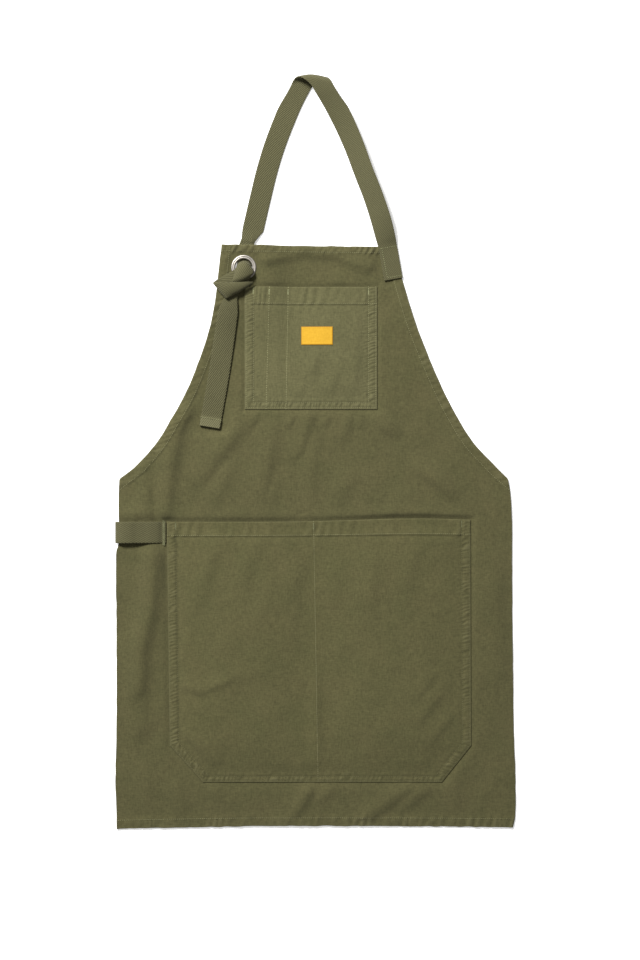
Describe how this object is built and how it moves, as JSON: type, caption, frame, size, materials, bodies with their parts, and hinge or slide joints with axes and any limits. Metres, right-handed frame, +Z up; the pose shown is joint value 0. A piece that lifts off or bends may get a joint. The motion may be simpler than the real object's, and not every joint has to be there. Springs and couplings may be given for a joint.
{
  "type": "apron",
  "caption": "Canvas work apron laid flat, with a bib, chest and skirt patch pockets, a webbing neck strap knotted through a metal eyelet, and a side towel loop.",
  "frame": {"origin": "middle of the outline as it lies, on the surface under it", "axes": "+X to the right as seen from the front, +Y from the hem up to the neck strap, +Z up out of the apron's front"},
  "size_m": [0.6001, 1.1299, 0.0228],
  "materials": {
    "canvas": "plain-weave cotton canvas, olive, slightly faded at the seams",
    "webbing": "herringbone cotton webbing, olive",
    "nickel": "satin nickel plate",
    "label_weave": "woven patch, amber yellow"
  },
  "bodies": {
    "root": {"apron_body": "canvas", "chest_pocket": "canvas", "lower_pocket": "canvas", "label": "label_weave", "neck_strap": "webbing", "eyelet_ring": "nickel", "eyelet_washer": "nickel", "towel_loop": "webbing"}
  },
  "joints": []
}
